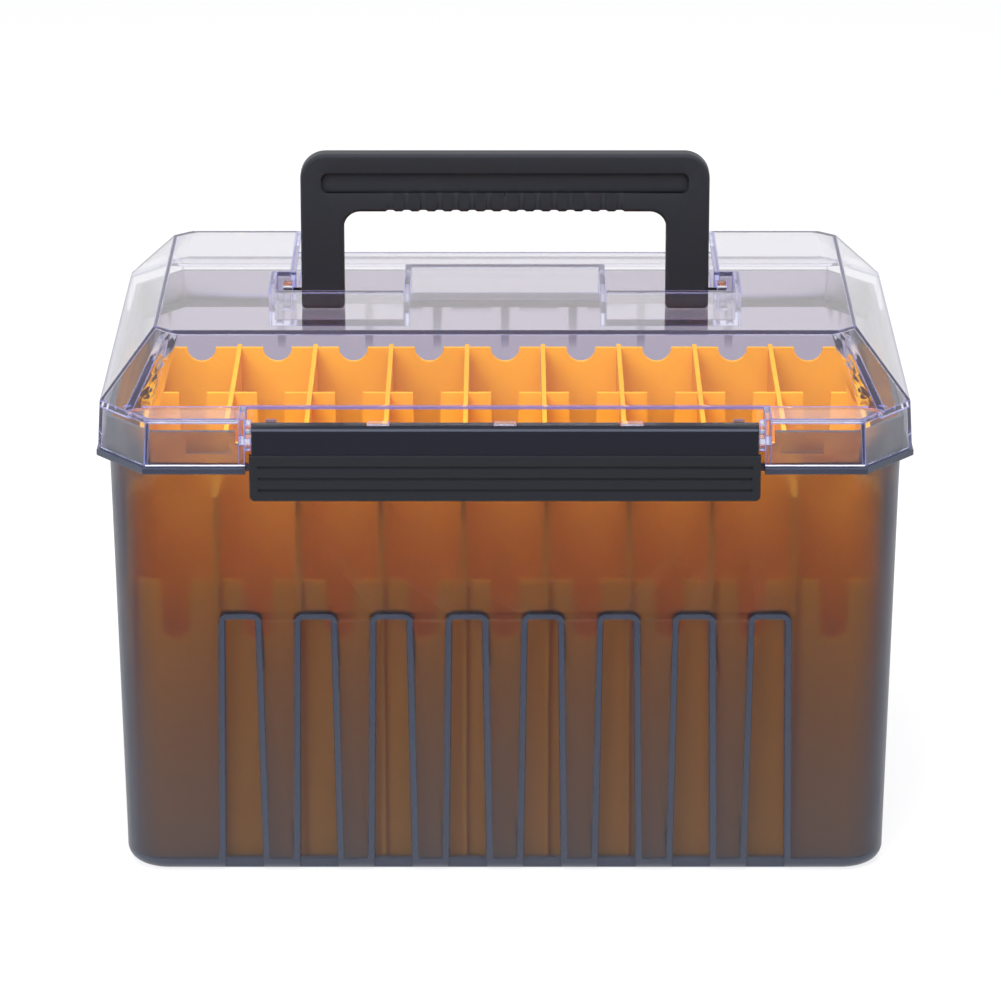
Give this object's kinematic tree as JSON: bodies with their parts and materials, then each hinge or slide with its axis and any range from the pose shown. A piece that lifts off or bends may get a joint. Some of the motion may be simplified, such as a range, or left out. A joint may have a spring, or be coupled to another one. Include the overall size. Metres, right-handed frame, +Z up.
{
  "type": "tackle box",
  "caption": "Portable tackle box with a see-through hip-roofed lid, full-width front latch, fold-down carrying handle and a lift-out rack of interlocking plates with lure slots.",
  "frame": {"origin": "middle of the overall footprint, at the underside of the tub's floor", "axes": "+X to the right along the latch seen from the front, +Y from the latch to the rear hinge, +Z up; the latch side faces -Y"},
  "size_m": [0.31, 0.227, 0.2597],
  "materials": {
    "smoke_plastic": "smoke-grey see-through plastic, satin outside",
    "clear_plastic": "clear polished plastic with faint blue-violet edges",
    "charcoal_plastic": "charcoal plastic with a fine matt grain",
    "black_plastic": "blue-black plastic, half-matt",
    "orange_plastic": "orange moulded plastic, half-matt",
    "pin_steel": "plain drawn wire"
  },
  "bodies": {
    "box": {"box_body": "smoke_plastic", "hinge_pin": "pin_steel", "rack_front_plate": "orange_plastic", "rack_middle_plate_front": "orange_plastic", "rack_middle_plate_rear": "orange_plastic", "rack_rear_plate": "orange_plastic", "rack_end_plate_left": "orange_plastic", "rack_end_plate_right": "orange_plastic", "rack_divider_1": "orange_plastic", "rack_divider_2": "orange_plastic", "rack_divider_3": "orange_plastic", "rack_divider_4": "orange_plastic", "rack_divider_5": "orange_plastic", "rack_divider_6": "orange_plastic", "rack_divider_7": "orange_plastic", "rack_divider_8": "orange_plastic"},
    "lid": {"lid": "clear_plastic", "latch_pin": "pin_steel"},
    "latch": {"latch": "black_plastic"},
    "handle": {"handle": "charcoal_plastic"}
  },
  "joints": [
    {"name": "lid_hinge", "type": "hinge", "parent": "box", "child": "lid", "pos_m": [0, 0.1103, 0.1645], "axis": [-1, 0, 0], "range_deg": [0, 105]},
    {"name": "latch_swing", "type": "hinge", "parent": "lid", "child": "latch", "pos_m": [0, -0.1078, 0.1816], "axis": [-1, 0, 0], "range_deg": [0, 85]},
    {"name": "handle_fold", "type": "hinge", "parent": "lid", "child": "handle", "pos_m": [0, 0.0035, 0.2029], "axis": [-1, 0, 0], "range_deg": [0, 90]}
  ]
}
